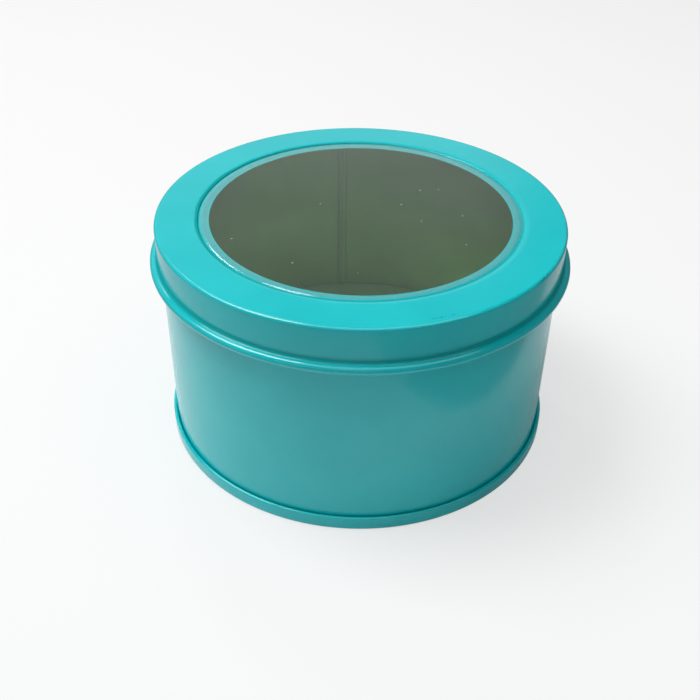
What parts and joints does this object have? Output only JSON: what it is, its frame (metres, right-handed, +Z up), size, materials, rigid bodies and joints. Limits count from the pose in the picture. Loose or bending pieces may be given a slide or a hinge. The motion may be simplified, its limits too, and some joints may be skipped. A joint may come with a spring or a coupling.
{
  "type": "window lid tin",
  "caption": "Round tinplate box with a lift-off slip lid, a clear window sunk into the lid, rolled rims and a double-seamed base",
  "frame": {"origin": "centre of the round foot, on the surface the tin stands on", "axes": "+Z up along the tin's axis, +X to the right and -Y towards the viewer of the picture"},
  "size_m": [0.13, 0.13, 0.073],
  "materials": {
    "wall_coating": "turquoise enamel on tinplate, semi-gloss",
    "base_coating": "turquoise enamel on tinplate, semi-gloss",
    "lid_coating": "turquoise enamel on tinplate, semi-gloss",
    "clear_plastic": "clear plastic sheet, glossy",
    "glue": "dried clear adhesive"
  },
  "bodies": {
    "tin": {"body_wall": "wall_coating", "base_end": "base_coating"},
    "lid": {"lid_shell": "lid_coating", "window_pane": "clear_plastic", "window_glue": "glue"}
  },
  "joints": [
    {"name": "lid_lift", "type": "slide", "parent": "tin", "child": "lid", "axis": [0, 0, 1], "range_m": [0, 0.06]}
  ]
}
